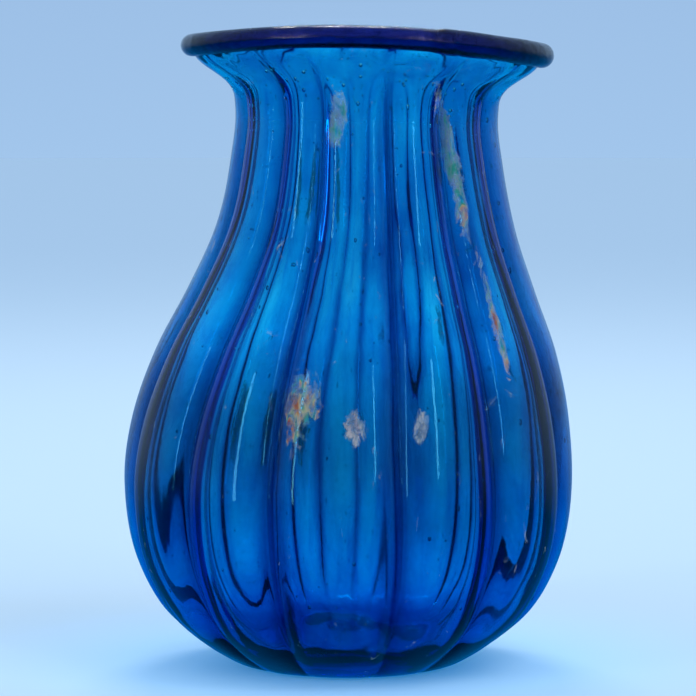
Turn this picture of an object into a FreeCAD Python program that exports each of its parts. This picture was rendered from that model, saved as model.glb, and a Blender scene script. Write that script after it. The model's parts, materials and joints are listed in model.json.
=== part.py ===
"""A small hand-blown ribbed glass vase: the blown body, the dark bead wrapped round its lip, and
the button of glass that the blower's rod left under the base. Millimetres, +Z up, origin at the
middle of the foot on the surface that the vase stands on, -Y the front."""

import FreeCAD
import Part
import math
import os

from FreeCAD import Placement, Rotation, Vector

OUT_FOLDER = "parts"
STEPS_PER_LOBE = 8
BEAD_SECTIONS = 20

# alias, size in mm (or degrees, or a count), what it is
DIMENSIONS = [
    ("foot_radius", 19.5, "outer radius of the flat ring that the vase stands on"),
    ("belly_radius", 45.4, "largest radius, over the lobes"),
    ("belly_height", 36.9, "height of the largest radius"),
    ("neck_radius", 26.4, "smallest radius, over the lobes"),
    ("neck_height", 112.0, "height of the smallest radius"),
    ("lip_height", 125.2, "mean height of the middle of the lip bead"),
    ("lip_radius", 35.0, "radius of the ring that the middle of the bead follows"),
    ("lip_tilt", 1.7, "degrees that the lip leans down towards +X"),
    ("lip_warp", 1.35, "how far front and back of the lip rise, and its sides sink"),
    ("neck_offset", 3.75, "how far the neck's centre stands towards +X of the belly's"),
    ("lobe_count", 12, "lobes that the ribbing mould gave the body"),
    ("crease_depth", 2.8, "depth of the creases between the lobes at the belly"),
    ("crease_width", 0.09, "rounding of a crease, as a share of half a lobe"),
    ("rib_height", 4.4, "how far the ribs behind the creases stand into the hollow at the belly"),
    ("wall", 1.6, "wall thickness of belly and neck at the lobes' crests"),
    ("floor_thickness", 4.8, "height of the inside floor above the foot"),
    ("bead_start", 2.55, "half the thickness of the lip bead where its trail begins"),
    ("bead_end", 2.15, "half the thickness of the lip bead where its trail ends"),
    ("lap_angle", 296.0, "degrees, counter-clockwise from +X, at which the trail laps itself"),
    ("lap_length", 6.0, "degrees over which the lap's step runs"),
    ("kick_radius", 14.0, "inner radius of the foot ring, where the hollow base starts"),
    ("kick_height", 3.0, "height of the hollow under the base"),
    ("button_radius", 6.0, "radius of the pontil button"),
    ("button_base", 1.4, "how far the button's face stays above the surface"),
]

doc = FreeCAD.newDocument("ribbed_vase")
sheet = doc.addObject("Spreadsheet::Sheet", "Dimensions")
for row, (alias, size, meaning) in enumerate(DIMENSIONS, start=1):
    sheet.set(f"A{row}", meaning)
    sheet.set(f"B{row}", str(size))
    sheet.setAlias(f"B{row}", alias)
doc.recompute()


def size(alias):
    """A driving dimension, read from the sheet."""
    return float(sheet.get(alias))


# ---------------------------------------------------------------- outlines

def outer_outline():
    """(radius, height, crease depth) of the outside, from the foot to the lip. The belly and the
    neck are the sheet's; the points between them are shares of the way from one to the other."""
    foot, belly, neck = size("foot_radius"), size("belly_radius"), size("neck_radius")
    low, high, lip = size("belly_height"), size("neck_height"), size("lip_height")
    deep, ring = size("crease_depth"), size("lip_radius")

    def lower(radius_share, height_share, crease_share):
        return (foot + (belly - foot) * radius_share, low * height_share, deep * crease_share)

    def upper(radius_share, height_share, crease_share):
        return (
            belly + (neck - belly) * radius_share,
            low + (high - low) * height_share,
            deep * crease_share,
        )

    def flare(radius_share, below_lip, crease_share):
        return (neck + (ring - neck) * radius_share, lip - below_lip, deep * crease_share)

    return [
        lower(0.00, 0.000, 0.15),
        lower(0.22, 0.057, 0.30),
        lower(0.44, 0.152, 0.50),
        lower(0.68, 0.300, 0.80),
        lower(0.89, 0.560, 1.00),
        lower(1.00, 1.000, 1.00),
        upper(0.06, 0.170, 1.00),
        upper(0.27, 0.360, 0.98),
        upper(0.55, 0.520, 0.92),
        upper(0.81, 0.690, 0.85),
        upper(0.95, 0.860, 0.75),
        upper(1.00, 1.000, 0.65),
        flare(0.06, 9.700, 0.50),
        flare(0.21, 7.600, 0.35),
        flare(0.47, 5.600, 0.20),
        flare(0.80, 3.600, 0.08),
        flare(1.00, 2.000, 0.03),
        flare(1.00, -3.000, 0.03),
    ]


def inner_outline():
    """(radius, height, crease depth) of the hollow, from the inside floor to above the lip."""
    belly, neck = size("belly_radius") - size("wall"), size("neck_radius") - size("wall")
    low, high, lip = size("belly_height"), size("neck_height"), size("lip_height")
    bottom, ring, deep = size("floor_thickness"), size("lip_radius"), size("rib_height")

    def lower(radius_share, height_share, crease_share):
        return (belly * radius_share, bottom + (low - bottom) * height_share, deep * crease_share)

    def upper(radius_share, height_share, crease_share):
        return (
            belly + (neck - belly) * radius_share,
            low + (high - low) * height_share,
            deep * crease_share,
        )

    def flare(radius_share, below_lip, crease_share):
        return (neck + (ring - neck) * radius_share, lip - below_lip, deep * crease_share)

    return [
        lower(0.16, 0.000, 0.00),
        lower(0.42, 0.008, 0.10),
        lower(0.56, 0.040, 0.30),
        lower(0.68, 0.110, 0.50),
        lower(0.80, 0.240, 0.75),
        lower(0.93, 0.500, 1.00),
        lower(1.00, 1.000, 1.00),
        upper(0.06, 0.170, 1.00),
        upper(0.27, 0.360, 0.98),
        upper(0.55, 0.520, 0.92),
        upper(0.81, 0.690, 0.85),
        upper(0.95, 0.860, 0.75),
        upper(1.00, 1.000, 0.65),
        flare(0.06, 9.000, 0.50),
        flare(0.21, 6.600, 0.35),
        flare(0.45, 4.300, 0.20),
        flare(0.75, 2.100, 0.08),
        flare(1.05, 0.300, 0.03),
        flare(1.50, -2.00, 0.03),
        flare(1.50, -8.00, 0.03),
    ]


def centre_offset(height):
    """How far the axis stands towards +X at a height: none up to the belly, all of it at the neck,
    with a smooth turn at both ends."""
    low, high = size("belly_height"), size("neck_height") * 0.86
    way = min(max((height - low) / (high - low), 0.0), 1.0)
    return size("neck_offset") * way * way * (3 - 2 * way)


def tilt_at(height):
    """Degrees that a section leans: none up to the shoulder, the lip's whole lean at the neck."""
    low, high = size("belly_height"), size("neck_height")
    way = min(max((height - low) / (high - low), 0.0), 1.0)
    return size("lip_tilt") * way


def lobed_loop(radius, height, crease):
    """A closed curve with one round lobe between each two creases: the radius is the lobes' own,
    less crease times the square of how near the point is to a crease."""
    lobes, rounding = int(size("lobe_count")), size("crease_width")
    steps = lobes * STEPS_PER_LOBE
    points = []
    for step in range(steps):
        angle = 2 * math.pi * step / steps
        from_crest = (step / STEPS_PER_LOBE + 0.5) % 1.0 - 0.5
        from_crease = 1 - 2 * abs(from_crest)
        rounded = math.hypot(from_crease, rounding) / math.hypot(1, rounding)
        reach = radius - crease * (1 - rounded) ** 2
        points.append(Vector(reach * math.cos(angle), reach * math.sin(angle), 0))
    curve = Part.BSplineCurve()
    curve.interpolate(Points=points, PeriodicFlag=True)
    loop = Part.Wire([curve.toShape()])
    lean = Rotation(Vector(0, 1, 0), tilt_at(height))
    loop.Placement = Placement(Vector(centre_offset(height), 0, height), lean)
    return loop


# ---------------------------------------------------------------- helpers

def add_feature(name, shape):
    """A Part::Feature that holds a given shape."""
    feature = doc.addObject("Part::Feature", name)
    feature.Shape = shape
    return feature


def add_loft(name, outline):
    """A solid through one lobed loop for each point of an outline."""
    loft = doc.addObject("Part::Loft", name)
    loft.Sections = [
        add_feature(f"{name}_section", lobed_loop(radius, height, crease))
        for radius, height, crease in outline
    ]
    loft.Solid = True
    loft.Ruled = False
    return loft


def add_boolean(kind, name, base, tool):
    """A Part::Cut or Part::Common of two objects."""
    boolean = doc.addObject(kind, name)
    boolean.Base = base
    boolean.Tool = tool
    return boolean


def kick_ball(name):
    """The ball whose cap is the hollow under the base: it passes through the foot ring's inner
    edge at the surface, and its top is at the kick's height."""
    ball = doc.addObject("Part::Sphere", name)
    sphere_radius = "(Dimensions.kick_radius^2 + Dimensions.kick_height^2) / (2 * Dimensions.kick_height)"
    ball.setExpression("Radius", f"({sphere_radius}) * 1mm")
    ball.setExpression("Placement.Base.z", f"(Dimensions.kick_height - {sphere_radius}) * 1mm")
    return ball


# ---------------------------------------------------------------- pieces

def make_body(bead):
    """The blown body: the outer form, less the inner hollow, the kick under the base, and the
    round seat in which the bead lies."""
    form = add_loft("outer_form", outer_outline())
    hollow = add_loft("inner_hollow", inner_outline())
    walls = add_boolean("Part::Cut", "walls", form, hollow)
    stood = add_boolean("Part::Cut", "stood_walls", walls, kick_ball("kick"))
    return add_boolean("Part::Cut", "vase_body", stood, bead)


def lip_point(angle):
    """A point of the closed line that the middle of the bead follows. The line leans towards +X,
    and its front and back stand higher than its sides, as a lip worked by hand does."""
    radius, lean = size("lip_radius"), math.tan(math.radians(size("lip_tilt")))
    height = size("lip_height") - radius * lean * math.cos(angle)
    height -= size("lip_warp") * math.cos(2 * angle)
    return Vector(size("neck_offset") + radius * math.cos(angle), radius * math.sin(angle), height)


def bead_loop(turn, radius):
    """A circle square to the lip's line, at a share of the turn round it from the lap."""
    angle = math.radians(size("lap_angle")) + 2 * math.pi * turn
    along = lip_point(angle + 0.001) - lip_point(angle - 0.001)
    return Part.Wire([Part.makeCircle(radius, lip_point(angle), along)])


def make_bead():
    """The lip wrap: a round trail of glass laid along the lip. It thins from its start to its end,
    and steps back to its first thickness where it laps itself."""
    start, end = size("bead_start"), size("bead_end")
    last = 1 - size("lap_length") / 360
    loops = []
    for step in range(BEAD_SECTIONS):
        share = step / (BEAD_SECTIONS - 1)
        loops.append(bead_loop(last * share, start + (end - start) * share))
    bead = doc.addObject("Part::Loft", "lip_wrap")
    bead.Sections = [add_feature("bead_section", loop) for loop in loops]
    bead.Solid = True
    bead.Closed = True
    return bead


def make_button():
    """The pontil button: a small disc of glass in the crown of the kick, flat below, and above of
    the ball's own curve, so that it meets the base face to face."""
    stub = doc.addObject("Part::Cylinder", "button_stub")
    stub.setExpression("Radius", "Dimensions.button_radius * 1mm")
    stub.setExpression("Height", "Dimensions.kick_height * 1mm")
    stub.setExpression("Placement.Base.z", "Dimensions.button_base * 1mm")
    return add_boolean("Part::Common", "pontil_button", stub, kick_ball("button_ball"))


def check(pieces):
    """Stops on any failed feature, and on any piece that isn't one closed, valid solid."""
    for item in doc.Objects:
        if {"Invalid", "Error"} & set(item.State):
            raise RuntimeError(f"{item.Name} failed: {item.State}")
    for piece in pieces:
        shape = piece.Shape
        if shape.isNull() or not shape.isValid() or len(shape.Solids) != 1:
            raise RuntimeError(f"{piece.Label} isn't one valid solid")


def write(pieces):
    """Writes each piece to a STEP file named after its label, and prints its size."""
    os.makedirs(OUT_FOLDER, exist_ok=True)
    for piece in pieces:
        piece.Shape.exportStep(os.path.join(OUT_FOLDER, f"{piece.Label}.step"))
        box = piece.Shape.BoundBox
        print(
            f"{piece.Label}: volume {piece.Shape.Volume:.0f} mm3, "
            f"x {box.XMin:.2f} to {box.XMax:.2f}, y {box.YMin:.2f} to {box.YMax:.2f}, "
            f"z {box.ZMin:.2f} to {box.ZMax:.2f}"
        )


bead = make_bead()
body = make_body(bead)
button = make_button()
doc.recompute()
PIECES = [body, bead, button]
check(PIECES)
write(PIECES)
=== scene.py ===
# %% [markdown]
# # A ribbed blown-glass vase
#
# This lesson builds the visible model of a small hand-blown vase round its measured frame. The
# vase has three pieces of glass: the ribbed body, the dark trail wrapped round its lip, and the
# button that the blower's rod left under the base. Each new piece is a surface worked out as whole
# arrays of points, so that every shape below is a formula that can be read and changed.

# %% Load the measured frame
import json
import math

import bpy
import numpy as np
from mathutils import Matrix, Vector

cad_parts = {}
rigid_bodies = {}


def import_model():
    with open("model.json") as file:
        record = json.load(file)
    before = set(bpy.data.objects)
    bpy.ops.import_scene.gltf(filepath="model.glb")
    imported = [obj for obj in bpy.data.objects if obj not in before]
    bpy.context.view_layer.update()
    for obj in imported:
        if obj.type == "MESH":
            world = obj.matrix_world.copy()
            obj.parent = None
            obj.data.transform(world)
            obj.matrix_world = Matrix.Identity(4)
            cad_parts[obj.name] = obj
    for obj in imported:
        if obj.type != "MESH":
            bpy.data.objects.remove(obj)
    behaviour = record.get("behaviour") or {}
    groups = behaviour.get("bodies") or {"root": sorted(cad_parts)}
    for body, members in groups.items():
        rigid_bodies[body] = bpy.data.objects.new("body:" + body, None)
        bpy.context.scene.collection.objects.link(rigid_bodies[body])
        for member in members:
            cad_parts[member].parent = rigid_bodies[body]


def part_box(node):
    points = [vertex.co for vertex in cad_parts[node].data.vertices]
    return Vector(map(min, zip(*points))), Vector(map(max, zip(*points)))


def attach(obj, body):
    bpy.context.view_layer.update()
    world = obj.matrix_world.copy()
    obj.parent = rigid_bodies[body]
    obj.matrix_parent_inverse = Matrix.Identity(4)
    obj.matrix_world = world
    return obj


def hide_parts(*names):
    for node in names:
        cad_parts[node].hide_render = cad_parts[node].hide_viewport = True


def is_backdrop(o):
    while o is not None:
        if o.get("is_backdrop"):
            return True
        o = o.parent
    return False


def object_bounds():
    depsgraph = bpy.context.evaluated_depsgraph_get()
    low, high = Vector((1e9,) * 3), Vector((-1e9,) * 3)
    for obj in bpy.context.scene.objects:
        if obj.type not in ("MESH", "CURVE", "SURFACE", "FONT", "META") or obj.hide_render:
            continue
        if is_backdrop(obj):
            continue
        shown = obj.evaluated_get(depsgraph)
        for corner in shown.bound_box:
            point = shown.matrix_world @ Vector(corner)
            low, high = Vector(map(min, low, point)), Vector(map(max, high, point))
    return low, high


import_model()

cad_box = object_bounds()
body_low, body_high = (np.array(corner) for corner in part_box("vase_body"))
button_low, button_high = (np.array(corner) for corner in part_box("pontil_button"))
cad_sides = np.subtract(cad_box[1], cad_box[0])
print("whole vase in mm:", [round(1000 * side, 1) for side in cad_sides])

# %% [markdown]
# ## The few sizes that drive the shape
#
# The belly's radius and the button's size come from the frame's boxes. What a box can't say, such
# as the height of the neck's narrowest place, is a named value here. The belly stays a hair inside
# its box. Lengths are in metres. Angles are measured from the front, -Y, towards +X.

# %% Driving sizes
MM = 0.001
BELLY_RADIUS = (body_high[1] - body_low[1]) / 2 - 0.05 * MM
BELLY_HEIGHT = 36.9 * MM
NECK_RADIUS = 26.4 * MM
NECK_HEIGHT = 112.0 * MM
NECK_OFFSET = 3.75 * MM
FOOT_RADIUS = 19.5 * MM
FLOOR_HEIGHT = 4.8 * MM
KICK_HEIGHT = 3.0 * MM
WALL = 1.5 * MM
BEAD_START = 2.55 * MM
BEAD_END = 2.15 * MM
LIP_RADIUS = 35.0 * MM
LIP_HEIGHT = 125.2 * MM
LIP_LEAN = math.radians(1.7)
LIP_WARP = 1.35 * MM
lip_width = 2 * (LIP_RADIUS + BEAD_START)
print(f"belly {2000 * BELLY_RADIUS:.1f} mm across, lip {1000 * lip_width:.1f} mm across")

# %% [markdown]
# ## A smooth curve through given points
#
# A blower feels a profile as a few places, with an even sweep of glass between them. The same idea
# in numbers is a cubic through a few given points. The profile's radius, height and crease depth
# all use it, so it is written once. Where something only has to change from one value to another,
# as in the sway of a crease, an eased step does.

# %% Curve helpers
def smooth_through(knots, values, at):
    """Cubic Hermite curve: between two knots, the only cubic that has their values and slopes. A
    knot's slope is the slope of the parabola through it and its two neighbours."""
    knots, values = np.asarray(knots, float), np.asarray(values, float)
    at = np.clip(at, knots[0], knots[-1])
    slopes = np.gradient(values, knots)
    left = np.clip(np.searchsorted(knots, at, side="right") - 1, 0, len(knots) - 2)
    width = knots[left + 1] - knots[left]
    t = (at - knots[left]) / width
    start = (1 + 2 * t) * (1 - t) ** 2 * values[left] + t * (1 - t) ** 2 * width * slopes[left]
    end = t ** 2 * (3 - 2 * t) * values[left + 1] - t ** 2 * (1 - t) * width * slopes[left + 1]
    return start + end


def ease(value, low, high):
    """0 below low, 1 above high, and 3t^2 - 2t^3 between them, so that both ends are smooth."""
    t = np.clip((value - low) / (high - low), 0, 1)
    return t * t * (3 - 2 * t)


print("half way up an eased step from 0 to 1:", ease(0.5, 0, 1))

# %% [markdown]
# ## The profile
#
# Half of the vase's section, drawn as one line: from the crown of the hollow under the base, round
# the foot, up the outside, over the lip, and down the inside to the floor. Each point also says
# how deep the creases between the lobes are there. The heights and radii are shares of the driving
# sizes. The outside and the inside have the same number of points, level with each other, so that
# any place in the wall can be found between them.

# %% Profile points
def lower_part(radius_share, height_share, crease_share):
    """A point between the foot and the belly, by its share of the way out and up."""
    radius = FOOT_RADIUS + (BELLY_RADIUS - FOOT_RADIUS) * radius_share
    return radius, BELLY_HEIGHT * height_share, crease_share


def upper_part(radius_share, height_share, crease_share, wall=0.0):
    """A point between the belly and the neck, by its share of the way in and up."""
    radius = BELLY_RADIUS + (NECK_RADIUS - BELLY_RADIUS) * radius_share - wall
    return radius, BELLY_HEIGHT + (NECK_HEIGHT - BELLY_HEIGHT) * height_share, crease_share


def flare_part(radius_share, below_lip, crease_share):
    """A point of the flared mouth, by its share of the way from neck to lip and its drop in mm."""
    radius = NECK_RADIUS + (LIP_RADIUS - NECK_RADIUS) * radius_share
    return radius, LIP_HEIGHT - below_lip * MM, crease_share


def bowl_part(radius_share, height_share, crease_share):
    """A point of the inside between its floor and the belly."""
    height = FLOOR_HEIGHT + (BELLY_HEIGHT - FLOOR_HEIGHT) * height_share
    return (BELLY_RADIUS - 1.2 * WALL) * radius_share, height, crease_share


UNDERSIDE = [
    (0.0, KICK_HEIGHT, 0.0),
    (5.0 * MM, 2.65 * MM, 0.0),
    (10.0 * MM, 1.50 * MM, 0.0),
    (13.6 * MM, 0.35 * MM, 0.0),
    (15.6 * MM, 0.00 * MM, 0.02),
]
OUTSIDE = [
    lower_part(-0.03, 0.000, 0.06),
    lower_part(0.12, 0.022, 0.20),
    lower_part(0.27, 0.075, 0.36),
    lower_part(0.46, 0.163, 0.55),
    lower_part(0.68, 0.300, 0.80),
    lower_part(0.89, 0.560, 1.00),
    lower_part(1.00, 1.000, 1.00),
    upper_part(0.06, 0.170, 1.00),
    upper_part(0.27, 0.360, 0.98),
    upper_part(0.55, 0.520, 0.92),
    upper_part(0.81, 0.690, 0.85),
    upper_part(0.95, 0.860, 0.75),
    upper_part(1.00, 1.000, 0.65),
    flare_part(0.06, 9.7, 0.50),
    flare_part(0.21, 7.6, 0.35),
    flare_part(0.47, 5.6, 0.20),
    flare_part(0.77, 3.6, 0.08),
    flare_part(0.94, 2.0, 0.03),
]
LIP_END = [flare_part(0.99, 1.0, 0.0), flare_part(0.94, 0.3, 0.0)]
INSIDE = [
    bowl_part(0.22, -0.010, 0.00),
    bowl_part(0.42, -0.010, 0.10),
    bowl_part(0.56, 0.035, 0.30),
    bowl_part(0.68, 0.110, 0.50),
    bowl_part(0.80, 0.240, 0.75),
    bowl_part(0.93, 0.500, 1.00),
    bowl_part(1.00, 1.000, 1.00),
    upper_part(0.06, 0.170, 1.00, 1.1 * WALL),
    upper_part(0.27, 0.360, 0.98, 0.9 * WALL),
    upper_part(0.55, 0.520, 0.92, 0.7 * WALL),
    upper_part(0.81, 0.690, 0.85, 0.8 * WALL),
    upper_part(0.95, 0.860, 0.75, 0.9 * WALL),
    upper_part(1.00, 1.000, 0.65, 0.8 * WALL),
    flare_part(-0.08, 9.2, 0.50),
    flare_part(0.06, 7.2, 0.35),
    flare_part(0.33, 4.9, 0.20),
    flare_part(0.63, 2.9, 0.08),
    flare_part(0.84, 1.3, 0.03),
]
HOLLOW_FLOOR = [(0.0, FLOOR_HEIGHT + 0.5 * MM, 0.0)]
profile = np.array(UNDERSIDE + OUTSIDE + LIP_END + INSIDE[::-1] + HOLLOW_FLOOR)
inner_side = np.zeros(len(profile))
inner_side[len(UNDERSIDE) + len(OUTSIDE) + 1:] = 1
profile_way = np.concatenate([[0], np.cumsum(np.hypot(*np.diff(profile[:, :2], axis=0).T))])
print(f"{len(profile)} points carry a section line {1000 * profile_way[-1]:.0f} mm long")

# %% [markdown]
# ## The lobes
#
# The gather of glass was blown into a mould with twelve ribs, then blown larger outside it. That
# leaves round lobes with a narrow crease between each two. The mould spaces the creases evenly, but
# turning, reheating and swinging the soft glass move them, so each crease has its own place, its
# own sway on the way up, and its own depth. Even creases would look like pressed glass. A form
# says how a drop is shaped across a lobe: how rounded it is at its bottom, and how narrow.

# %% Crease places and the lobed radius
LOBES = 12
LOBE_BULGE = 1.0 * MM
OUTSIDE_CREASE = 2.0 * MM
INSIDE_RIB = 3.0 * MM
THICK_SHOULDER = 1.6 * MM
BULGE_FORM = (0.20, 2.0)
CREASE_FORM = (0.04, 6.0)
SHOULDER_FORM = (0.25, 1.8)
RIB_FORM = (0.12, 5.0)
# The last form is not a drop: it shapes the painted shade along the creases.
CREASE_SHADE_FORM = (0.06, 5.5)
CREASE_AT_BELLY = np.radians([-168, -142, -116, -77, -48, -21, 14, 42, 74, 116, 142, 170])
CREASE_AT_NECK = np.radians([-168, -140, -110, -70, -41, -21, 9, 35, 64, 108, 140, 168])
CREASE_STRENGTH = np.array([0.9, 1.0, 0.85, 1.1, 1.4, 1.35, 1.4, 1.2, 1.1, 0.95, 1.05, 0.9])


def crease_angles(height):
    """The angles of the creases at each height: they sway from their belly to their neck places."""
    up = ease(height, BELLY_HEIGHT * 0.6, NECK_HEIGHT)
    return CREASE_AT_BELLY + (CREASE_AT_NECK - CREASE_AT_BELLY) * up[..., None]


def crease_drop(angle, height, rounding, narrowness):
    """How far the surface sinks at a place, as a share of the full depth. Between two creases the
    place is a number from 0 to 1. Its distance to the nearer crease, doubled and rounded off near
    zero, is q: the drop is 1 - q to the power of the narrowness, times that crease's strength."""
    at = crease_angles(height)
    drop = np.zeros(angle.shape)
    for k in range(LOBES):
        after = (k + 1) % LOBES
        span = (at[..., after] - at[..., k]) % (2 * np.pi)
        share = ((angle - at[..., k]) % (2 * np.pi)) / span
        near = 1 - np.abs(2 * share - 1)
        q = np.hypot(near, rounding) / math.hypot(1, rounding)
        strength = np.where(share < 0.5, CREASE_STRENGTH[k], CREASE_STRENGTH[after])
        fall = np.maximum(1 - q, 0) ** narrowness
        drop = np.where(share < 1, fall * strength, drop)
    return drop


def hand_waver(angle, height, seed, waves=9):
    """The unevenness of hot glass worked by hand: a sum of sine waves round and up the vase, each
    with its own whole number of turns, slow rise and phase, weaker the finer it is."""
    rng = np.random.default_rng(seed)
    total = np.zeros(np.broadcast(angle, height).shape)
    for _ in range(waves):
        turns = rng.integers(1, 24)
        rise = rng.uniform(-90, 90)
        phase = rng.uniform(0, 2 * np.pi)
        total += np.sin(turns * angle + rise * height + phase) / (4 + turns)
    return total


belly_gaps = np.degrees((np.roll(CREASE_AT_BELLY, -1) - CREASE_AT_BELLY) % (2 * np.pi))
print(f"{LOBES} lobes, {belly_gaps.min():.0f} to {belly_gaps.max():.0f} degrees wide at the belly")

# %% [markdown]
# ## From profile to points in space
#
# One function turns a place on the profile and an angle into a point. It carries the profile
# round the axis, sinks it at the creases, shifts it with the neck's offset, and leans and warps it
# near the lip. The grid of the body and the bubbles inside the wall both come from it, so that they
# always agree. The waver is most on the inside, which no tool has touched.

# %% The blown surface as a function of two parameters
INNER_WAVER = 0.30 * MM
OUTER_WAVER = 0.05 * MM
OFFSET_REACHED = 0.86 * NECK_HEIGHT


def axis_offset(height):
    """The axis stands still up to the belly and has moved to the neck's offset near the neck."""
    return NECK_OFFSET * ease(height, BELLY_HEIGHT, OFFSET_REACHED)


def lip_rise(angle, height, radius):
    """How far the lean and the warp of the lip lift a point: the lean grows from the belly up, and
    the warp, high at front and back and low at the sides, only in the flare."""
    lean = np.clip((height - BELLY_HEIGHT) / (NECK_HEIGHT - BELLY_HEIGHT), 0, 1)
    warp = ease(height, NECK_HEIGHT, LIP_HEIGHT - 2 * MM)
    return warp * LIP_WARP * np.cos(2 * angle) - lean * radius * np.sin(angle) * math.tan(LIP_LEAN)


def blown_point(way, angle):
    """A point of the blown surface: radius, height and crease depth are the profile's at this way
    along it, and the radius is less the creases' drop and a hand's waver."""
    radius = smooth_through(profile_way, profile[:, 0], way)
    height = np.maximum(smooth_through(profile_way, profile[:, 1], way), 0)
    crease = smooth_through(profile_way, profile[:, 2], way)
    inside = smooth_through(profile_way, inner_side, way)
    angle = np.broadcast_to(angle, radius.shape)
    bulge = LOBE_BULGE * crease_drop(angle, height, *BULGE_FORM)
    outer_drop = OUTSIDE_CREASE * crease_drop(angle, height, *CREASE_FORM)
    inner_drop = THICK_SHOULDER * crease_drop(angle, height, *SHOULDER_FORM)
    inner_drop += INSIDE_RIB * crease_drop(angle, height, *RIB_FORM)
    drop = crease * (bulge + outer_drop + (inner_drop - outer_drop) * inside)
    waver = INNER_WAVER * hand_waver(angle, height, 5, 26) * inside
    waver = waver + OUTER_WAVER * hand_waver(angle, height, 8)
    body_share = ease(height, 6 * MM, 20 * MM)
    body_share = body_share * (1 - ease(height, NECK_HEIGHT, LIP_HEIGHT - 4 * MM))
    reach = radius - drop - np.abs(waver) * body_share
    x = axis_offset(height) + reach * np.sin(angle)
    y = -reach * np.cos(angle)
    return np.stack([x, y, height + lip_rise(angle, height, radius)], axis=-1)


hollow_crown = blown_point(np.array([0.0]), 0.0)[0]
print("crown of the hollow under the foot, in mm:", (1000 * hollow_crown).round(2))

# %% [markdown]
# ## Turning a grid of points into a mesh
#
# The rows of the grid run round the vase, so each row closes on itself. At both ends of the profile
# the radius is nothing, and the whole row would fall on one point: there a single vertex and a fan
# of triangles close the surface. A closed surface matters for glass, because light that enters it
# has to be able to leave it.

# %% Grid helpers
def closed_skin_faces(rows, around):
    """Faces of a grid of rows, each closed on itself, with a single vertex under the first row and
    one above the last. Vertices are numbered row by row, then the two end vertices."""
    row = np.arange(rows - 1)[:, None] * around
    step = np.arange(around)[None, :]
    right = (step + 1) % around
    quads = np.stack([row + step, row + right, row + around + right, row + around + step], axis=-1)
    first, last = rows * around, rows * around + 1
    step, right, top = step.ravel(), right.ravel(), (rows - 1) * around
    low_fan = np.stack([np.full(around, first), right, step], axis=-1)
    high_fan = np.stack([np.full(around, last), top + step, top + right], axis=-1)
    return quads.reshape(-1, 4), np.concatenate([low_fan, high_fan])


def mesh_from_arrays(name, points, quads, triangles):
    """A smooth-shaded mesh object at the origin from a point array and two face arrays."""
    mesh = bpy.data.meshes.new(name)
    corners = np.concatenate([quads.ravel(), triangles.ravel()])
    sizes = np.concatenate([np.full(len(quads), 4), np.full(len(triangles), 3)])
    mesh.vertices.add(len(points))
    mesh.vertices.foreach_set("co", points.astype(np.float32).ravel())
    mesh.loops.add(len(corners))
    mesh.loops.foreach_set("vertex_index", corners.astype(np.int32))
    mesh.polygons.add(len(sizes))
    starts = np.concatenate([[0], np.cumsum(sizes)[:-1]])
    mesh.polygons.foreach_set("loop_start", starts.astype(np.int32))
    mesh.polygons.foreach_set("use_smooth", np.ones(len(sizes), dtype=bool))
    mesh.update(calc_edges=True)
    mesh.validate()
    piece = bpy.data.objects.new(name, mesh)
    bpy.context.collection.objects.link(piece)
    return piece


smallest = closed_skin_faces(2, 3)
print(f"two rows of three points close with {len(smallest[0])} quads, {len(smallest[1])} triangles")

# %% [markdown]
# ## The blown body
#
# The outside, the lip's edge and the inside are one closed skin, as in real glass, where the wall
# has two faces and everything between them is solid. The rows lie at even steps along the section
# line, close enough for its tight turns at the foot and the flare. Round the vase the points crowd
# at the creases, which are sharper than the lobes. Each point keeps how near it is to a crease, and
# the glass uses that later for painted shade along the creases.

# %% Body grid
PER_LOBE = 24
CROWDING = 0.75
AROUND = LOBES * PER_LOBE
ROWS = 268
row_way = np.linspace(0, profile_way[-1], ROWS + 2)[1:-1]
even = np.linspace(0, 1, PER_LOBE, endpoint=False)
crowded = even - CROWDING * np.sin(2 * np.pi * even) / (2 * np.pi)
row_creases = crease_angles(smooth_through(profile_way, profile[:, 1], row_way))
next_creases = np.roll(row_creases, -1, axis=1)
spans = (next_creases - row_creases) % (2 * np.pi)
angle_grid = (row_creases[..., None] + spans[..., None] * crowded).reshape(ROWS, AROUND)
way_grid = np.broadcast_to(row_way[:, None], angle_grid.shape)
body_points = blown_point(way_grid, angle_grid).reshape(-1, 3)
height_grid = smooth_through(profile_way, profile[:, 1], way_grid)
# How much painted shade each point gets: most at a crease, less where the profile's creases are
# shallow.
crease_shade_share = smooth_through(profile_way, profile[:, 2], way_grid)
crease_shade_share = crease_shade_share * crease_drop(angle_grid, height_grid, *CREASE_SHADE_FORM)
end_points = np.array([[0, 0, profile[0, 1]], [0, 0, profile[-1, 1]]])
body_points = np.concatenate([body_points, end_points])
body_quads, body_triangles = closed_skin_faces(ROWS, AROUND)
print(f"body: {len(body_quads) * 2 + len(body_triangles)} triangles")

# %% [markdown]
# ## Seed bubbles
#
# Small bubbles of gas, called seeds, are caught in the melt and drawn out a little upwards as the
# glass is blown. Each one is a real hollow in the wall: a small closed skin that faces inwards, so
# that light passes from glass to air and back, and the bubble shines as a bright dot with a dark
# edge. They are placed between the two faces of the wall, by the same function as the wall itself.

# %% Bubble helpers
def small_ball(rings=4, around=6):
    """A unit ball of a few dozen faces: rings of points at equal steps from pole to pole."""
    tilt = np.pi * (np.arange(rings) + 1) / (rings + 1)
    turn = 2 * np.pi * np.arange(around) / around
    tilt, turn = np.meshgrid(np.pi - tilt, turn, indexing="ij")
    across, along = np.sin(tilt) * np.cos(turn), np.sin(tilt) * np.sin(turn)
    ball = np.stack([across, along, np.cos(tilt)], axis=-1)
    points = np.concatenate([ball.reshape(-1, 3), [[0, 0, -1], [0, 0, 1]]])
    return points, *closed_skin_faces(rings, around)


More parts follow.
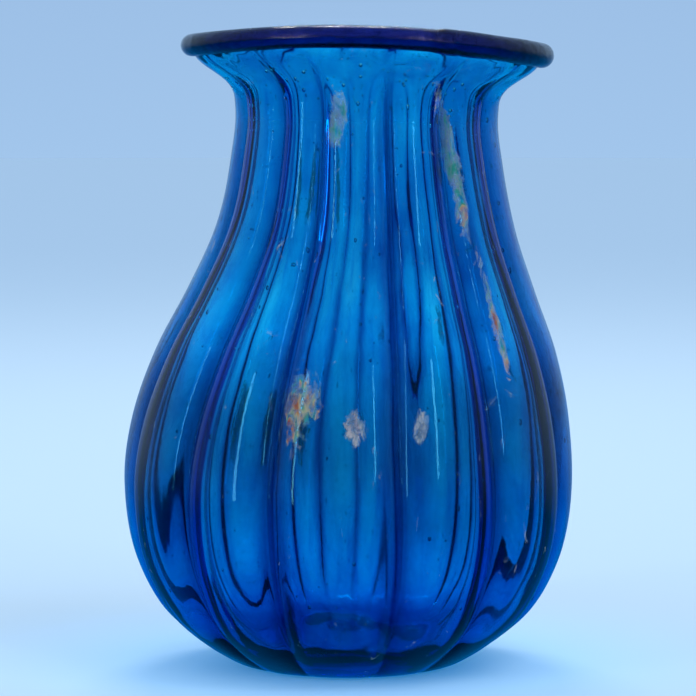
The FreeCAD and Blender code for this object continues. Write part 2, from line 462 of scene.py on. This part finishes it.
def hollows(centres, radii, stretch):
    """Many small balls at once, turned inside out: every face's corners are in reverse order."""
    points, quads, triangles = small_ball()
    even = np.ones_like(stretch)
    scale = radii[:, None] * np.stack([even, even, stretch], axis=-1)
    placed = centres[:, None, :] + points[None, :, :] * scale[:, None, :]
    shift = len(points) * np.arange(len(centres))[:, None, None]
    quads = (quads[None, :, ::-1] + shift).reshape(-1, 4)
    triangles = (triangles[None, :, ::-1] + shift).reshape(-1, 3)
    return placed.reshape(-1, 3), quads, triangles


def level_way(level, points, first):
    """The way along the profile of a fractional level of the outside or the inside points."""
    at = np.arange(len(points), dtype=float)
    ways = profile_way[first:first + len(points)]
    return np.interp(level, at, ways)


print(f"a bubble is made of {len(small_ball()[0])} points")

# %% [markdown]
# ## Seeds in the wall
#
# The seeds lie anywhere between the foot and the flare, near the middle of the wall's thickness.
# Most are small, because their size is a square of an even draw. They join the body's own mesh.

# %% Seeds in the wall
rng = np.random.default_rng(12)
SEEDS = 640
SEED_SMALLEST = 0.13 * MM
SEED_RANGE = 0.28 * MM
seed_angle = rng.uniform(-np.pi, np.pi, SEEDS)
seed_level = rng.uniform(4.2, 15.2, SEEDS)
outer_way = level_way(seed_level, OUTSIDE, len(UNDERSIDE))
inner_first = len(UNDERSIDE) + len(OUTSIDE) + len(LIP_END)
inner_way = level_way(len(INSIDE) - 1 - seed_level, INSIDE, inner_first)
depth_share = rng.uniform(0.38, 0.62, SEEDS)[:, None]
seed_centres = blown_point(outer_way, seed_angle) * (1 - depth_share)
seed_centres += blown_point(inner_way, seed_angle) * depth_share
seed_radii = SEED_SMALLEST + SEED_RANGE * rng.uniform(0, 1, SEEDS) ** 2
seed_stretch = rng.uniform(1.0, 1.9, SEEDS)
seed_points, seed_quads, seed_triangles = hollows(seed_centres, seed_radii, seed_stretch)
shift = len(body_points)
body = mesh_from_arrays(
    "blown_body",
    np.concatenate([body_points, seed_points]),
    np.concatenate([body_quads, seed_quads + shift]),
    np.concatenate([body_triangles, seed_triangles + shift]),
)
# The share of painted crease shade is kept on the points; the two end points and the seeds get
# none.
shade_at_creases = body.data.attributes.new("shade_at_creases", "FLOAT", "POINT")
shade_at_creases.data.foreach_set("value", np.concatenate([crease_shade_share.ravel(), np.zeros(2 + len(seed_points))]))
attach(body, "root")
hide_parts("vase_body")
print(f"{SEEDS} seeds, {2000 * seed_radii.min():.2f} to {2000 * seed_radii.max():.2f} mm across")

# %% [markdown]
# ## The lip wrap
#
# The blower finished the lip with a trail of much darker glass, laid round the hot edge in one turn
# and melted round in the fire. It is thickest where it starts and thins on the way round. Where it
# meets its own start there is a step and a faint groove. It could be a torus, but a torus is the
# same all round, and this isn't: so a circle is carried along the lip's own line, with its size and
# a little lumpiness changing on the way.

# %% Lip wrap grid
LAP_ANGLE = math.radians(26)
LAP_LENGTH = math.radians(7)
GROOVE_DEPTH = 0.08
GROOVE_WIDTH = 0.018


def lip_line(angle):
    """The line that the middle of the trail follows: a circle round the neck's axis that leans to
    one side and stands higher at front and back."""
    height = LIP_HEIGHT - LIP_RADIUS * math.tan(LIP_LEAN) * np.sin(angle)
    height = height + LIP_WARP * np.cos(2 * angle)
    x = NECK_OFFSET + LIP_RADIUS * np.sin(angle)
    return np.stack([x, -LIP_RADIUS * np.cos(angle), height], axis=-1)


def trail_radius(turn):
    """Half the trail's thickness at an angle past the lap: from its start to its end it thins
    evenly, and over the lap's length it steps back."""
    full = 2 * np.pi - LAP_LENGTH
    thinning = BEAD_START + (BEAD_END - BEAD_START) * np.clip(turn / full, 0, 1)
    return thinning + (BEAD_START - BEAD_END) * ease(turn, full, 2 * np.pi)


TRAIL_STEPS = 360
TRAIL_AROUND = 40
trail_turn = np.linspace(0, 2 * np.pi, TRAIL_STEPS, endpoint=False)
section_turn = np.linspace(0, 2 * np.pi, TRAIL_AROUND, endpoint=False)
turn_grid, section_grid = np.meshgrid(trail_turn, section_turn, indexing="ij")
trail_angle = LAP_ANGLE + turn_grid
lumps = 1 + 0.02 * np.sin(5 * trail_angle + 0.7) + 0.015 * np.sin(11 * trail_angle + 2.1)
slanted_turn = turn_grid + 0.6 * np.sin(section_grid) * LAP_LENGTH
past_groove = (slanted_turn + np.pi) % (2 * np.pi) - np.pi
groove = 1 - GROOVE_DEPTH * np.exp(-(past_groove / GROOVE_WIDTH) ** 2)
thickness = trail_radius(turn_grid) * np.minimum(lumps, 1.0) * groove
level = np.zeros_like(trail_angle)
outwards = np.stack([np.sin(trail_angle), -np.cos(trail_angle), level], axis=-1)
upwards = np.array([0.0, 0.0, 1.0])
trail_points = lip_line(trail_angle) + thickness[..., None] * (
    np.cos(section_grid)[..., None] * outwards + np.sin(section_grid)[..., None] * upwards
)
print(f"lip wrap: {2000 * thickness.min():.1f} to {2000 * thickness.max():.1f} mm thick")

# %% [markdown]
# ## Seeds in the lip wrap
#
# The dark trail has seeds too, smaller and closer together. They lie just under its skin, where
# they catch the light. The trail closes on itself both ways, as a tyre does, so its faces need no
# fans at the ends.

# %% Lip seeds and the lip's mesh
def ring_faces(steps, around):
    """Faces of a grid closed on itself both ways, as on a tyre."""
    step = np.arange(steps)[:, None]
    turn = np.arange(around)[None, :]
    after, beside = (step + 1) % steps, (turn + 1) % around
    here, there = step * around, after * around
    corners = [here + turn, there + turn, there + beside, here + beside]
    return np.stack(np.broadcast_arrays(*corners), axis=-1).reshape(-1, 4)


LIP_SEEDS = 260
LIP_SEED_SMALLEST = 0.10 * MM
LIP_SEED_RANGE = 0.13 * MM
lip_seed_angle = rng.uniform(-np.pi, np.pi, LIP_SEEDS)
lip_seed_out = MM * rng.uniform(1.2, 1.8, LIP_SEEDS)
lip_seed_turn = rng.uniform(0, 2 * np.pi, LIP_SEEDS)
lip_seed_centres = lip_line(lip_seed_angle)
lip_seed_centres[:, 0] += lip_seed_out * np.cos(lip_seed_turn) * np.sin(lip_seed_angle)
lip_seed_centres[:, 1] -= lip_seed_out * np.cos(lip_seed_turn) * np.cos(lip_seed_angle)
lip_seed_centres[:, 2] += lip_seed_out * np.sin(lip_seed_turn)
lip_seed_radii = LIP_SEED_SMALLEST + LIP_SEED_RANGE * rng.uniform(0, 1, LIP_SEEDS) ** 2
lip_seed_points, lip_seed_quads, lip_seed_triangles = hollows(
    lip_seed_centres, lip_seed_radii, np.ones(LIP_SEEDS)
)
shift = trail_points[..., 0].size
trail = mesh_from_arrays(
    "lip_trail",
    np.concatenate([trail_points.reshape(-1, 3), lip_seed_points]),
    np.concatenate([ring_faces(TRAIL_STEPS, TRAIL_AROUND), lip_seed_quads + shift]),
    lip_seed_triangles + shift,
)
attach(trail, "root")
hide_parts("lip_wrap")
print(f"{LIP_SEEDS} seeds in the lip")

# %% [markdown]
# ## The pontil button
#
# While the lip was worked, the vase sat on a rod stuck to its base. Broken off, the rod leaves a
# button of glass with a rough, shell-like break, here softened in the fire. It is a low disc whose
# top follows the hollow of the base and whose face is uneven.

# %% Pontil button grid
BUTTON_RADIUS = (button_high[0] - button_low[0]) / 2
BUTTON_FACE = button_low[2]
FACE_CLEARANCE = 0.2 * MM
SHELL_DEPTH = 0.18 * MM
HOLLOW_RADIUS = 14 * MM
BUTTON_ROWS = 40
BUTTON_AROUND = 96
button_share = np.linspace(0, 2, BUTTON_ROWS + 2)[1:-1]
button_turn = np.linspace(0, 2 * np.pi, BUTTON_AROUND, endpoint=False)
share_grid, turn_grid = np.meshgrid(button_share, button_turn, indexing="ij")


def button_point(share, turn):
    """The button's skin: shares 0 to 1 run out along the broken face, 1 to 2 back in along the
    top, which lies in the base's hollow. A super-ellipse rounds the edge between them."""
    out = BUTTON_RADIUS * np.sin(share * np.pi / 2) ** 0.6
    uneven = 1 - 0.05 * np.abs(np.sin(2 * turn + 1)) * ease(out, 0.5 * BUTTON_RADIUS, BUTTON_RADIUS)
    out = out * uneven
    crown = KICK_HEIGHT * (1 - (out / HOLLOW_RADIUS) ** 2)
    shell = SHELL_DEPTH * np.sin(out / BUTTON_RADIUS * 7 + 1.5 * np.sin(turn))
    shell = shell * np.clip(1.2 - share, 0, 1)
    face = BUTTON_FACE + FACE_CLEARANCE + shell
    middle, half = (crown + face) / 2, (crown - face) / 2
    side = np.cos(share * np.pi / 2)
    height = middle - half * np.sign(side) * np.abs(side) ** 0.25
    return np.stack([out * np.sin(turn), -out * np.cos(turn), height], axis=-1)


button_points = button_point(share_grid, turn_grid).reshape(-1, 3)
button_ends = np.array([[0, 0, BUTTON_FACE + FACE_CLEARANCE], [0, 0, KICK_HEIGHT]])
button_quads, button_triangles = closed_skin_faces(BUTTON_ROWS, BUTTON_AROUND)
button = mesh_from_arrays(
    "pontil_mark", np.concatenate([button_points, button_ends]), button_quads, button_triangles
)
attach(button, "root")
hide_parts("pontil_button")
print(f"pontil button: {2000 * BUTTON_RADIUS:.1f} mm across")

# %% [markdown]
# ## Glass that is coloured all through
#
# The colour of this glass is in the melt, not on its surface: light loses red fast, green slower
# and blue slowest with each millimetre. So the surface is clear, and the volume inside absorbs.
# Thin wall then looks turquoise, and the long way along a crease looks almost black, by itself. The
# lip's glass loses more of every colour, so it looks like cobalt. The skin of the vase mirrors
# little red, which keeps its reflections blue.

# %% Absorbing glass
def add_node(tree, kind, **settings):
    """A node of a kind, with its settings."""
    node = tree.nodes.new(kind)
    for key, value in settings.items():
        setattr(node, key, value)
    return node


def glass_material(name, absorb_per_mm):
    """Clear surface over an absorbing volume. The loss of each colour per mm gives the absorption
    colour, 1 - loss / greatest loss, and the density, the greatest loss per metre."""
    material = bpy.data.materials.new(name)
    material.use_nodes = True
    tree = material.node_tree
    tree.nodes.clear()
    output = add_node(tree, "ShaderNodeOutputMaterial")
    surface = add_node(tree, "ShaderNodeBsdfPrincipled")
    surface.inputs["Roughness"].default_value = 0.02
    surface.inputs["IOR"].default_value = 1.5
    surface.inputs["Transmission Weight"].default_value = 1.0
    surface.inputs["Specular Tint"].default_value = (0.05, 0.35, 0.60, 1)
    volume = add_node(tree, "ShaderNodeVolumeAbsorption")
    greatest = max(absorb_per_mm)
    volume.inputs["Color"].default_value = (*[1 - loss / greatest for loss in absorb_per_mm], 1)
    volume.inputs["Density"].default_value = greatest * 1000
    tree.links.new(surface.outputs["BSDF"], output.inputs["Surface"])
    tree.links.new(volume.outputs["Volume"], output.inputs["Volume"])
    return material, tree, surface


TURQUOISE_LOSS = (1.90, 0.265, 0.07)
COBALT_LOSS = (3.6, 1.05, 0.40)
body_glass, body_tree, body_surface = glass_material("turquoise_glass", TURQUOISE_LOSS)
lip_glass, lip_tree, lip_surface = glass_material("cobalt_glass", COBALT_LOSS)
button_glass, button_tree, button_surface = glass_material("broken_glass", TURQUOISE_LOSS)
body.data.materials.append(body_glass)
trail.data.materials.append(lip_glass)
button.data.materials.append(button_glass)
print("three glasses, coloured in the volume")

# %% [markdown]
# ## Streaks, clouds and a wavy skin
#
# Hand-blown glass is never even. Cords of slightly darker glass run up the wall, because the gather
# was stretched that way, and paler clouds lie between them. The skin is wavy from the tools. All of
# it is noise in the vase's own coordinates: fine round the vase and long up it for the cords, and
# nearly round for the clouds. The helpers below turn such noise into colours and amounts.

# %% Pattern helpers
def stretched_noise(tree, scale, stretch, detail=3.0, roughness=0.5, distortion=0.0):
    """Noise in the piece's own coordinates, with features 1 / scale wide and stretched upwards by
    1 / stretch. Its value is near 0.5, and seldom under 0.25 or over 0.75."""
    place = add_node(tree, "ShaderNodeTexCoord")
    mapping = add_node(tree, "ShaderNodeMapping")
    mapping.inputs["Scale"].default_value = (1, 1, stretch)
    noise = add_node(tree, "ShaderNodeTexNoise")
    noise.inputs["Scale"].default_value = scale
    noise.inputs["Detail"].default_value = detail
    noise.inputs["Roughness"].default_value = roughness
    noise.inputs["Distortion"].default_value = distortion
    tree.links.new(place.outputs["Object"], mapping.inputs["Vector"])
    tree.links.new(mapping.outputs["Vector"], noise.inputs["Vector"])
    return noise.outputs["Fac"]


def spread(tree, value, low, high, to_low=0.0, to_high=1.0):
    """A value between low and high, stretched to run from to_low to to_high, and cut off there."""
    node = add_node(tree, "ShaderNodeMapRange")
    tree.links.new(value, node.inputs["Value"])
    limits = {"From Min": low, "From Max": high, "To Min": to_low, "To Max": to_high}
    for name, number in limits.items():
        node.inputs[name].default_value = number
    return node.outputs["Result"]


def combine(tree, kind, first, second):
    """Two values, or a value and a number, put together by one operation of a Math node."""
    node = add_node(tree, "ShaderNodeMath", operation=kind)
    for socket, value in zip(node.inputs, (first, second)):
        if isinstance(value, (int, float)):
            socket.default_value = value
        else:
            tree.links.new(value, socket)
    return node.outputs["Value"]


def colour_steps(tree, value, stops):
    """A colour for each value, between stops of (position, colour)."""
    ramp = add_node(tree, "ShaderNodeValToRGB")
    tree.links.new(value, ramp.inputs["Fac"])
    elements = ramp.color_ramp.elements
    while len(elements) < len(stops):
        elements.new(0.5)
    for element, (position, colour) in zip(elements, stops):
        element.position = position
        element.color = (*colour, 1)
    return ramp.outputs["Color"]


def blend_colours(tree, share, first, second, kind="MIX"):
    """Two colours mixed by a share, which is a value or a number."""
    node = add_node(tree, "ShaderNodeMix", data_type="RGBA", blend_type=kind)
    sockets = (node.inputs[0], node.inputs[6], node.inputs[7])
    for socket, value in zip(sockets, (share, first, second)):
        if isinstance(value, (int, float, tuple)):
            socket.default_value = value
        else:
            tree.links.new(value, socket)
    return node.outputs[2]


def add_bump(tree, surface, heights, distance):
    """Bends a surface's normal as if it rose by the distance where heights goes from 0 to 1."""
    bump = add_node(tree, "ShaderNodeBump")
    bump.inputs["Distance"].default_value = distance
    tree.links.new(heights, bump.inputs["Height"])
    tree.links.new(bump.outputs["Normal"], surface.inputs["Normal"])


print("five helpers for patterns, and one that bends a surface")

# %% [markdown]
# ## Uneven colour and painted shade
#
# Four things colour the body's glass, and they multiply. The cords and the clouds are its own
# uneven tint. A darker belt round the belly is painted shade, for a darker part of the room seen
# through the glass at that height. The darkening along the creases is painted shade too, standing
# in for the dark lines that light running along them makes. The belt's edges are pushed up and down
# by wide noise, so that it doesn't read as a stripe.

# %% Cords, clouds and painted shade on the body
cords = stretched_noise(body_tree, 240, 0.07, detail=4, distortion=0.3)
clouds = stretched_noise(body_tree, 60, 0.6, detail=5, roughness=0.6)
cord_tint = colour_steps(body_tree, cords, [
    (0.30, (0.35, 0.66, 0.86)),
    (0.48, (0.95, 0.97, 0.99)),
    (0.70, (1.0, 1.0, 1.0)),
])
cloud_tint = colour_steps(body_tree, clouds, [
    (0.32, (0.40, 0.60, 0.78)),
    (0.60, (1.0, 1.0, 1.0)),
])
wall_tint = blend_colours(body_tree, 1.0, cord_tint, cloud_tint, kind="MULTIPLY")
place = add_node(body_tree, "ShaderNodeTexCoord")
place_parts = add_node(body_tree, "ShaderNodeSeparateXYZ")
body_tree.links.new(place.outputs["Object"], place_parts.inputs["Vector"])
# Wide noise that only pushes the edges of the painted belt shade up and down.
belt_edge_noise = stretched_noise(body_tree, 28, 1.0, detail=4, roughness=0.6)
uneven_height = combine(
    body_tree, "ADD", place_parts.outputs["Z"], combine(body_tree, "MULTIPLY", belt_edge_noise, 0.02)
)
# Painted shade: a darker belt round the belly.
painted_belt_shade = colour_steps(body_tree, spread(body_tree, uneven_height, 0.010, 0.110), [
    (0.00, (1.0, 1.0, 1.0)),
    (0.28, (0.94, 0.96, 0.98)),
    (0.36, (0.72, 0.74, 0.70)),
    (0.54, (0.72, 0.76, 0.73)),
    (0.62, (1.0, 1.0, 1.0)),
])
tint_and_belt_shade = blend_colours(body_tree, 1.0, wall_tint, painted_belt_shade, kind="MULTIPLY")
# Painted shade along the creases: the glass's colour goes dark there, standing in for the dark
# lines that light running along the creases makes.
crease_shade_place = add_node(body_tree, "ShaderNodeAttribute", attribute_name="shade_at_creases")
painted_crease_shade = colour_steps(body_tree, crease_shade_place.outputs["Fac"], [
    (0.08, (1.0, 1.0, 1.0)),
    (0.36, (0.60, 0.62, 0.76)),
    (0.75, (0.10, 0.20, 0.42)),
])
tint_and_painted_shade = blend_colours(body_tree, 1.0, tint_and_belt_shade, painted_crease_shade, kind="MULTIPLY")
# The belt is painted shade.
print("cords a few mm apart, clouds about 17 mm wide, and a shadowed belt round the belly")

# %% [markdown]
# ## Painted reflections
#
# The bright patches on the lobes are painted reflections of a window, put into the glass's colour:
# a few ragged patches, cream, gold and teal, and two long streaks beside creases. The gold and teal
# ones are painted in rainbow colours. Each patch is a soft ball of a given place and size. Noise
# eats into its edge, so that it comes out ragged and not round.

# %% Painted reflection patches
def soft_ball(tree, centre, half_size, lean):
    """1 at a centre and 0 at the skin of an ellipsoid round it, which leans in degrees towards +X.
    Lengths in mm."""
    place = add_node(tree, "ShaderNodeTexCoord")
    mapping = add_node(tree, "ShaderNodeMapping", vector_type="TEXTURE")
    mapping.inputs["Location"].default_value = [MM * part for part in centre]
    mapping.inputs["Rotation"].default_value = (0, math.radians(lean), 0)
    mapping.inputs["Scale"].default_value = [MM * part for part in half_size]
    ball = add_node(tree, "ShaderNodeTexGradient", gradient_type="SPHERICAL")
    tree.links.new(place.outputs["Object"], mapping.inputs["Vector"])
    tree.links.new(mapping.outputs["Vector"], ball.inputs["Vector"])
    return ball.outputs["Fac"]


# Painted reflections of a window: the centre and half size of each patch in mm, and its lean.
RAINBOW_REFLECTIONS = [
    ((-9.5, -43, 57), (5.0, 9, 12), 6),
    ((-2.5, -28, 110), (2.6, 8, 8), 8),
    ((20.5, -22, 101), (2.0, 12, 22), -12),
    ((27.5, -30, 76), (1.3, 12, 24), -14),
    ((-41.0, 12, 56), (9, 5, 10), 0),
    ((-20.0, 38, 44), (5, 9, 12), 5),
    ((-9.0, 28, 98), (3, 9, 14), -8),
]
CREAM_REFLECTIONS = [
    ((1.2, -45, 52), (3.0, 8, 5), 0),
    ((14.2, -42, 52), (2.2, 8, 5), 0),
    ((42.0, 8, 48), (9, 5, 7), 0),
    ((22.0, 36, 66), (3, 9, 8), 0),
]
# Noise that makes the painted reflections' edges ragged and thins them in places.
reflection_edge_noise = stretched_noise(body_tree, 300, 0.5, detail=8, roughness=0.75, distortion=1.0)
reflection_gap_noise = stretched_noise(body_tree, 700, 0.6, detail=6, roughness=0.7)


def painted_reflection_mask(patches):
    """The painted reflection in some patches. The balls' greatest value plus ragged noise is cut to
    0 to 1 between two limits, then thinned where the gap noise is low."""
    together = soft_ball(body_tree, *patches[0])
    for patch in patches[1:]:
        together = combine(body_tree, "MAXIMUM", together, soft_ball(body_tree, *patch))
    reflection_reach = combine(body_tree, "ADD", together, combine(body_tree, "MULTIPLY", reflection_edge_noise, 2.2))
    reflection_thinning = spread(body_tree, reflection_gap_noise, 0.38, 0.60, 0.25, 1.0)
    return combine(body_tree, "MULTIPLY", spread(body_tree, reflection_reach, 1.38, 1.54), reflection_thinning)


# Where the reflections are painted, and in what colours.
rainbow_reflection = painted_reflection_mask(RAINBOW_REFLECTIONS)
cream_reflection = painted_reflection_mask(CREAM_REFLECTIONS)
rainbow_hue_noise = stretched_noise(body_tree, 240, 0.35, detail=2, distortion=1.2)
rainbow_reflection_colour = colour_steps(body_tree, rainbow_hue_noise, [
    (0.30, (0.30, 0.03, 0.02)),
    (0.38, (0.60, 0.20, 0.03)),
    (0.43, (0.55, 0.46, 0.22)),
    (0.47, (0.08, 0.30, 0.12)),
    (0.52, (0.01, 0.34, 0.36)),
    (0.58, (0.01, 0.20, 0.40)),
    (0.66, (0.04, 0.30, 0.20)),
])
painted_reflection = combine(body_tree, "MAXIMUM", rainbow_reflection, cream_reflection)
reflection_colour = blend_colours(body_tree, cream_reflection, rainbow_reflection_colour, (0.62, 0.50, 0.46, 1))
print(f"{len(RAINBOW_REFLECTIONS) + len(CREAM_REFLECTIONS)} places where lustre is left")

# %% [markdown]
# ## The skin of the body
#
# Where a reflection is painted, its colour covers the glass, lets less light through and is
# rougher.
# Smears from the fire and from handling blur the rest a little. Ripples that run up the vase bend
# it, and tiny pits add grain. The bump is only a quarter of a millimetre: more, and the glass looks
# ragged.

# %% Body surface
# The base colour: the glass's tint with its painted shade, under the painted reflections.
surface_colour = blend_colours(body_tree, painted_reflection, tint_and_painted_shade, reflection_colour)
body_tree.links.new(surface_colour, body_surface.inputs["Base Color"])
clear_share = spread(body_tree, painted_reflection, 0, 1, 1.0, 0.40)
body_tree.links.new(clear_share, body_surface.inputs["Transmission Weight"])
smears = stretched_noise(body_tree, 90, 0.4, detail=6, roughness=0.7)
smear_roughness = spread(body_tree, smears, 0.42, 0.75, 0.01, 0.12)
rough = combine(body_tree, "ADD", smear_roughness, combine(body_tree, "MULTIPLY", painted_reflection, 0.2))
body_tree.links.new(rough, body_surface.inputs["Roughness"])
ripples = stretched_noise(body_tree, 110, 0.08, detail=1.5)
pits = stretched_noise(body_tree, 900, 0.7, detail=2)
skin_heights = combine(body_tree, "ADD", ripples, combine(body_tree, "MULTIPLY", pits, 0.012))
add_bump(body_tree, body_surface, skin_heights, 0.25 * MM)
print("the body's skin has smears, ripples and pits")

# %% [markdown]
# ## The skin of the lip and the button
#
# The trail was stirred as it melted, so its colour is streaky, and it is shiny from the fire. The
# button is a break in the glass, like the inside of a shell: grained, and dull in places.

# %% Lip and button surfaces
lip_cords = stretched_noise(lip_tree, 220, 2.5, detail=4)
lip_stops = [(0.35, (0.25, 0.40, 0.70)), (0.60, (1.0, 1.0, 1.0))]
lip_tint = colour_steps(lip_tree, lip_cords, lip_stops)
lip_tree.links.new(lip_tint, lip_surface.inputs["Base Color"])
lip_smears = stretched_noise(lip_tree, 160, 1.0, detail=6, roughness=0.7)
lip_roughness = spread(lip_tree, lip_smears, 0.4, 0.8, 0.01, 0.06)
lip_tree.links.new(lip_roughness, lip_surface.inputs["Roughness"])
lip_surface.inputs["Specular Tint"].default_value = (0.50, 0.50, 0.50, 1)
add_bump(lip_tree, lip_surface, lip_smears, 0.4 * MM)

shell_break = stretched_noise(button_tree, 500, 1.0, detail=5, roughness=0.6)
button_stops = [(0.3, (0.6, 0.8, 0.9)), (0.6, (1.0, 1.0, 1.0))]
button_tint = colour_steps(button_tree, shell_break, button_stops)
button_tree.links.new(button_tint, button_surface.inputs["Base Color"])
button_roughness = spread(button_tree, shell_break, 0.3, 0.7, 0.05, 0.4)
button_tree.links.new(button_roughness, button_surface.inputs["Roughness"])
add_bump(button_tree, button_surface, shell_break, 0.3 * MM)
print("a streaky, shiny lip and a grained, dull button")

# %% [markdown]
# ## The floor
#
# The vase stands on a plain pale floor. Light that has been through the glass leaves a soft blue
# glow round the foot. Tracing it would be slow and grainy, so the floor gives off a little blue
# light of its own there, fading outwards.

# %% Floor
FLOOR_RADIUS = 3.0
FLOOR_CORNERS = 64
GLOW_RADIUS = 0.11
GLOW_STRENGTH = 0.38
floor_mesh = bpy.data.meshes.new("floor")
floor_turn = np.linspace(0, 2 * np.pi, FLOOR_CORNERS, endpoint=False)
floor_x, floor_y = FLOOR_RADIUS * np.cos(floor_turn), FLOOR_RADIUS * np.sin(floor_turn)
floor_points = np.stack([floor_x, floor_y, np.zeros(FLOOR_CORNERS)], axis=-1)
floor_mesh.from_pydata(floor_points.tolist(), [], [list(range(FLOOR_CORNERS))])
floor = bpy.data.objects.new("floor", floor_mesh)
bpy.context.collection.objects.link(floor)
floor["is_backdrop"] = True
floor.visible_glossy = False
floor_material = bpy.data.materials.new("pale_floor")
floor_material.use_nodes = True
tree = floor_material.node_tree
floor_surface = tree.nodes["Principled BSDF"]
floor_surface.inputs["Base Color"].default_value = (0.53, 0.72, 0.90, 1)
floor_surface.inputs["Roughness"].default_value = 0.8
floor_surface.inputs["Specular IOR Level"].default_value = 0.1
glow_place = add_node(tree, "ShaderNodeTexCoord")
glow_size = add_node(tree, "ShaderNodeMapping", vector_type="TEXTURE")
glow_size.inputs["Scale"].default_value = (GLOW_RADIUS, GLOW_RADIUS, GLOW_RADIUS)
glow = add_node(tree, "ShaderNodeTexGradient", gradient_type="QUADRATIC_SPHERE")
tree.links.new(glow_place.outputs["Object"], glow_size.inputs["Vector"])
tree.links.new(glow_size.outputs["Vector"], glow.inputs["Vector"])
floor_surface.inputs["Emission Color"].default_value = (0.05, 0.45, 0.95, 1)
glow_strength = spread(tree, glow.outputs["Fac"], 0, 0.35, 0.0, GLOW_STRENGTH)
tree.links.new(glow_strength, floor_surface.inputs["Emission Strength"])
floor_mesh.materials.append(floor_material)
print(f"a round floor {2 * FLOOR_RADIUS:.0f} m across")

# %% [markdown]
# ## The room's light
#
# Glass has hardly any look of its own: it shows what is round it. A pale room seen through the
# glass gives the blue its depth. What the glass mirrors is a darker and bluer room, as in a dim
# corner, or the reflections would wash the blue out. Light paths tell the two apart.

# %% World
world = bpy.data.worlds.new("pale_room")
bpy.context.scene.world = world
world.use_nodes = True
tree = world.node_tree
background = tree.nodes["Background"]
direction = add_node(tree, "ShaderNodeTexCoord")
parts = add_node(tree, "ShaderNodeSeparateXYZ")
tree.links.new(direction.outputs["Generated"], parts.inputs["Vector"])
heights = spread(tree, parts.outputs["Z"], -1, 1)
seen_colour = colour_steps(tree, heights, [
    (0.45, (0.40, 0.62, 0.90)),
    (0.52, (0.32, 0.50, 0.77)),
    (1.00, (0.90, 0.95, 1.00)),
])
mirrored_colour = colour_steps(tree, heights, [
    (0.40, (0.00, 0.16, 0.50)),
    (0.52, (0.27, 0.42, 0.64)),
])
dim = add_node(tree, "ShaderNodeBackground")
tree.links.new(seen_colour, background.inputs["Color"])
tree.links.new(mirrored_colour, dim.inputs["Color"])
light_path = add_node(tree, "ShaderNodeLightPath")
glossy, reflected = light_path.outputs["Is Glossy Ray"], light_path.outputs["Is Reflection Ray"]
mixed = add_node(tree, "ShaderNodeMixShader")
tree.links.new(combine(tree, "MULTIPLY", glossy, reflected), mixed.inputs["Fac"])
tree.links.new(background.outputs["Background"], mixed.inputs[1])
tree.links.new(dim.outputs["Background"], mixed.inputs[2])
tree.links.new(mixed.outputs["Shader"], tree.nodes["World Output"].inputs["Surface"])
print("a pale room, darker where the glass mirrors it")

# %% [markdown]
# ## Lamps
#
# One large soft lamp, like a window, lights the floor and the painted reflection patches. It isn't
# mirrored, because a large white shape on the glass would hide the blue. Three narrow lamps are
# there only to be mirrored: they draw the thin bright lines along the creases and behind the lip.

# %% Lamps
def area_lamp(name, width, height, energy, location):
    """A rectangular lamp of a size in metres and an energy in watts."""
    lamp_data = bpy.data.lights.new(name, "AREA")
    lamp_data.shape = "RECTANGLE"
    lamp_data.size, lamp_data.size_y = width, height
    lamp_data.energy = energy
    lamp = bpy.data.objects.new(name, lamp_data)
    lamp.location = location
    bpy.context.collection.objects.link(lamp)
    return lamp


window = area_lamp("soft_window", 0.5, 0.7, 2.6, (0.6, -0.5, 1.1))
window.rotation_euler = (math.radians(35), 0, math.radians(50))
window.visible_glossy = False

VASE_MIDDLE = Vector((0, 0, 0.07))
WARM_WHITE = (1.0, 0.9, 0.75)
STRIPS = [
    ("left_strip", 0.05, 0.60, 1.2, (-0.60, -0.55, 0.22)),
    ("right_strip", 0.04, 0.50, 0.9, (0.50, -0.70, 0.30)),
    ("top_strip", 0.30, 0.03, 2.0, (-0.03, 0.55, 0.75)),
]
for strip_values in STRIPS:
    strip = area_lamp(*strip_values)
    strip.data.color = WARM_WHITE
    way_to_vase = VASE_MIDDLE - strip.location
    strip.rotation_euler = way_to_vase.to_track_quat("-Z", "Y").to_euler()
print(f"one soft lamp and {len(STRIPS)} strips")

# %% [markdown]
# ## The camera
#
# A long lens from three quarters of a metre flattens the vase a little. The camera looks down at
# it by only a few degrees, so that the mouth shows as a thin band. Light needs many bounces here:
# it crosses four skins of glass, and the seeds in them, before it reaches the lens.

# %% Camera
LENS_MM = 193
SENSOR_MM = 36
CAMERA_PLACE = np.array([0.0, -0.75, 0.128])
AIM_POINT = np.array([0.0, 0.0, 0.064])
camera_data = bpy.data.cameras.new("camera")
camera_data.lens = LENS_MM
camera_data.sensor_width = SENSOR_MM
camera = bpy.data.objects.new("camera", camera_data)
bpy.context.collection.objects.link(camera)
bpy.context.scene.camera = camera
camera.location = CAMERA_PLACE
aim = AIM_POINT - np.array(camera.location)
camera.rotation_euler = (math.pi / 2 + math.atan2(aim[2], math.hypot(aim[0], aim[1])), 0, 0)
bpy.context.scene.view_settings.view_transform = "Standard"
bpy.context.scene.cycles.transmission_bounces = 24
bpy.context.scene.cycles.max_bounces = 32
print(f"the camera looks down by {90 - math.degrees(camera.rotation_euler[0]):.1f} degrees")

# %% [markdown]
# ## Last look at the size
#
# The visible vase has to lie inside its measured frame, so both boxes are written down and
# compared.

visual_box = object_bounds()
visual_sides = np.subtract(visual_box[1], visual_box[0])
print("grown by mm:", (1000 * (visual_sides - cad_sides)).round(2))
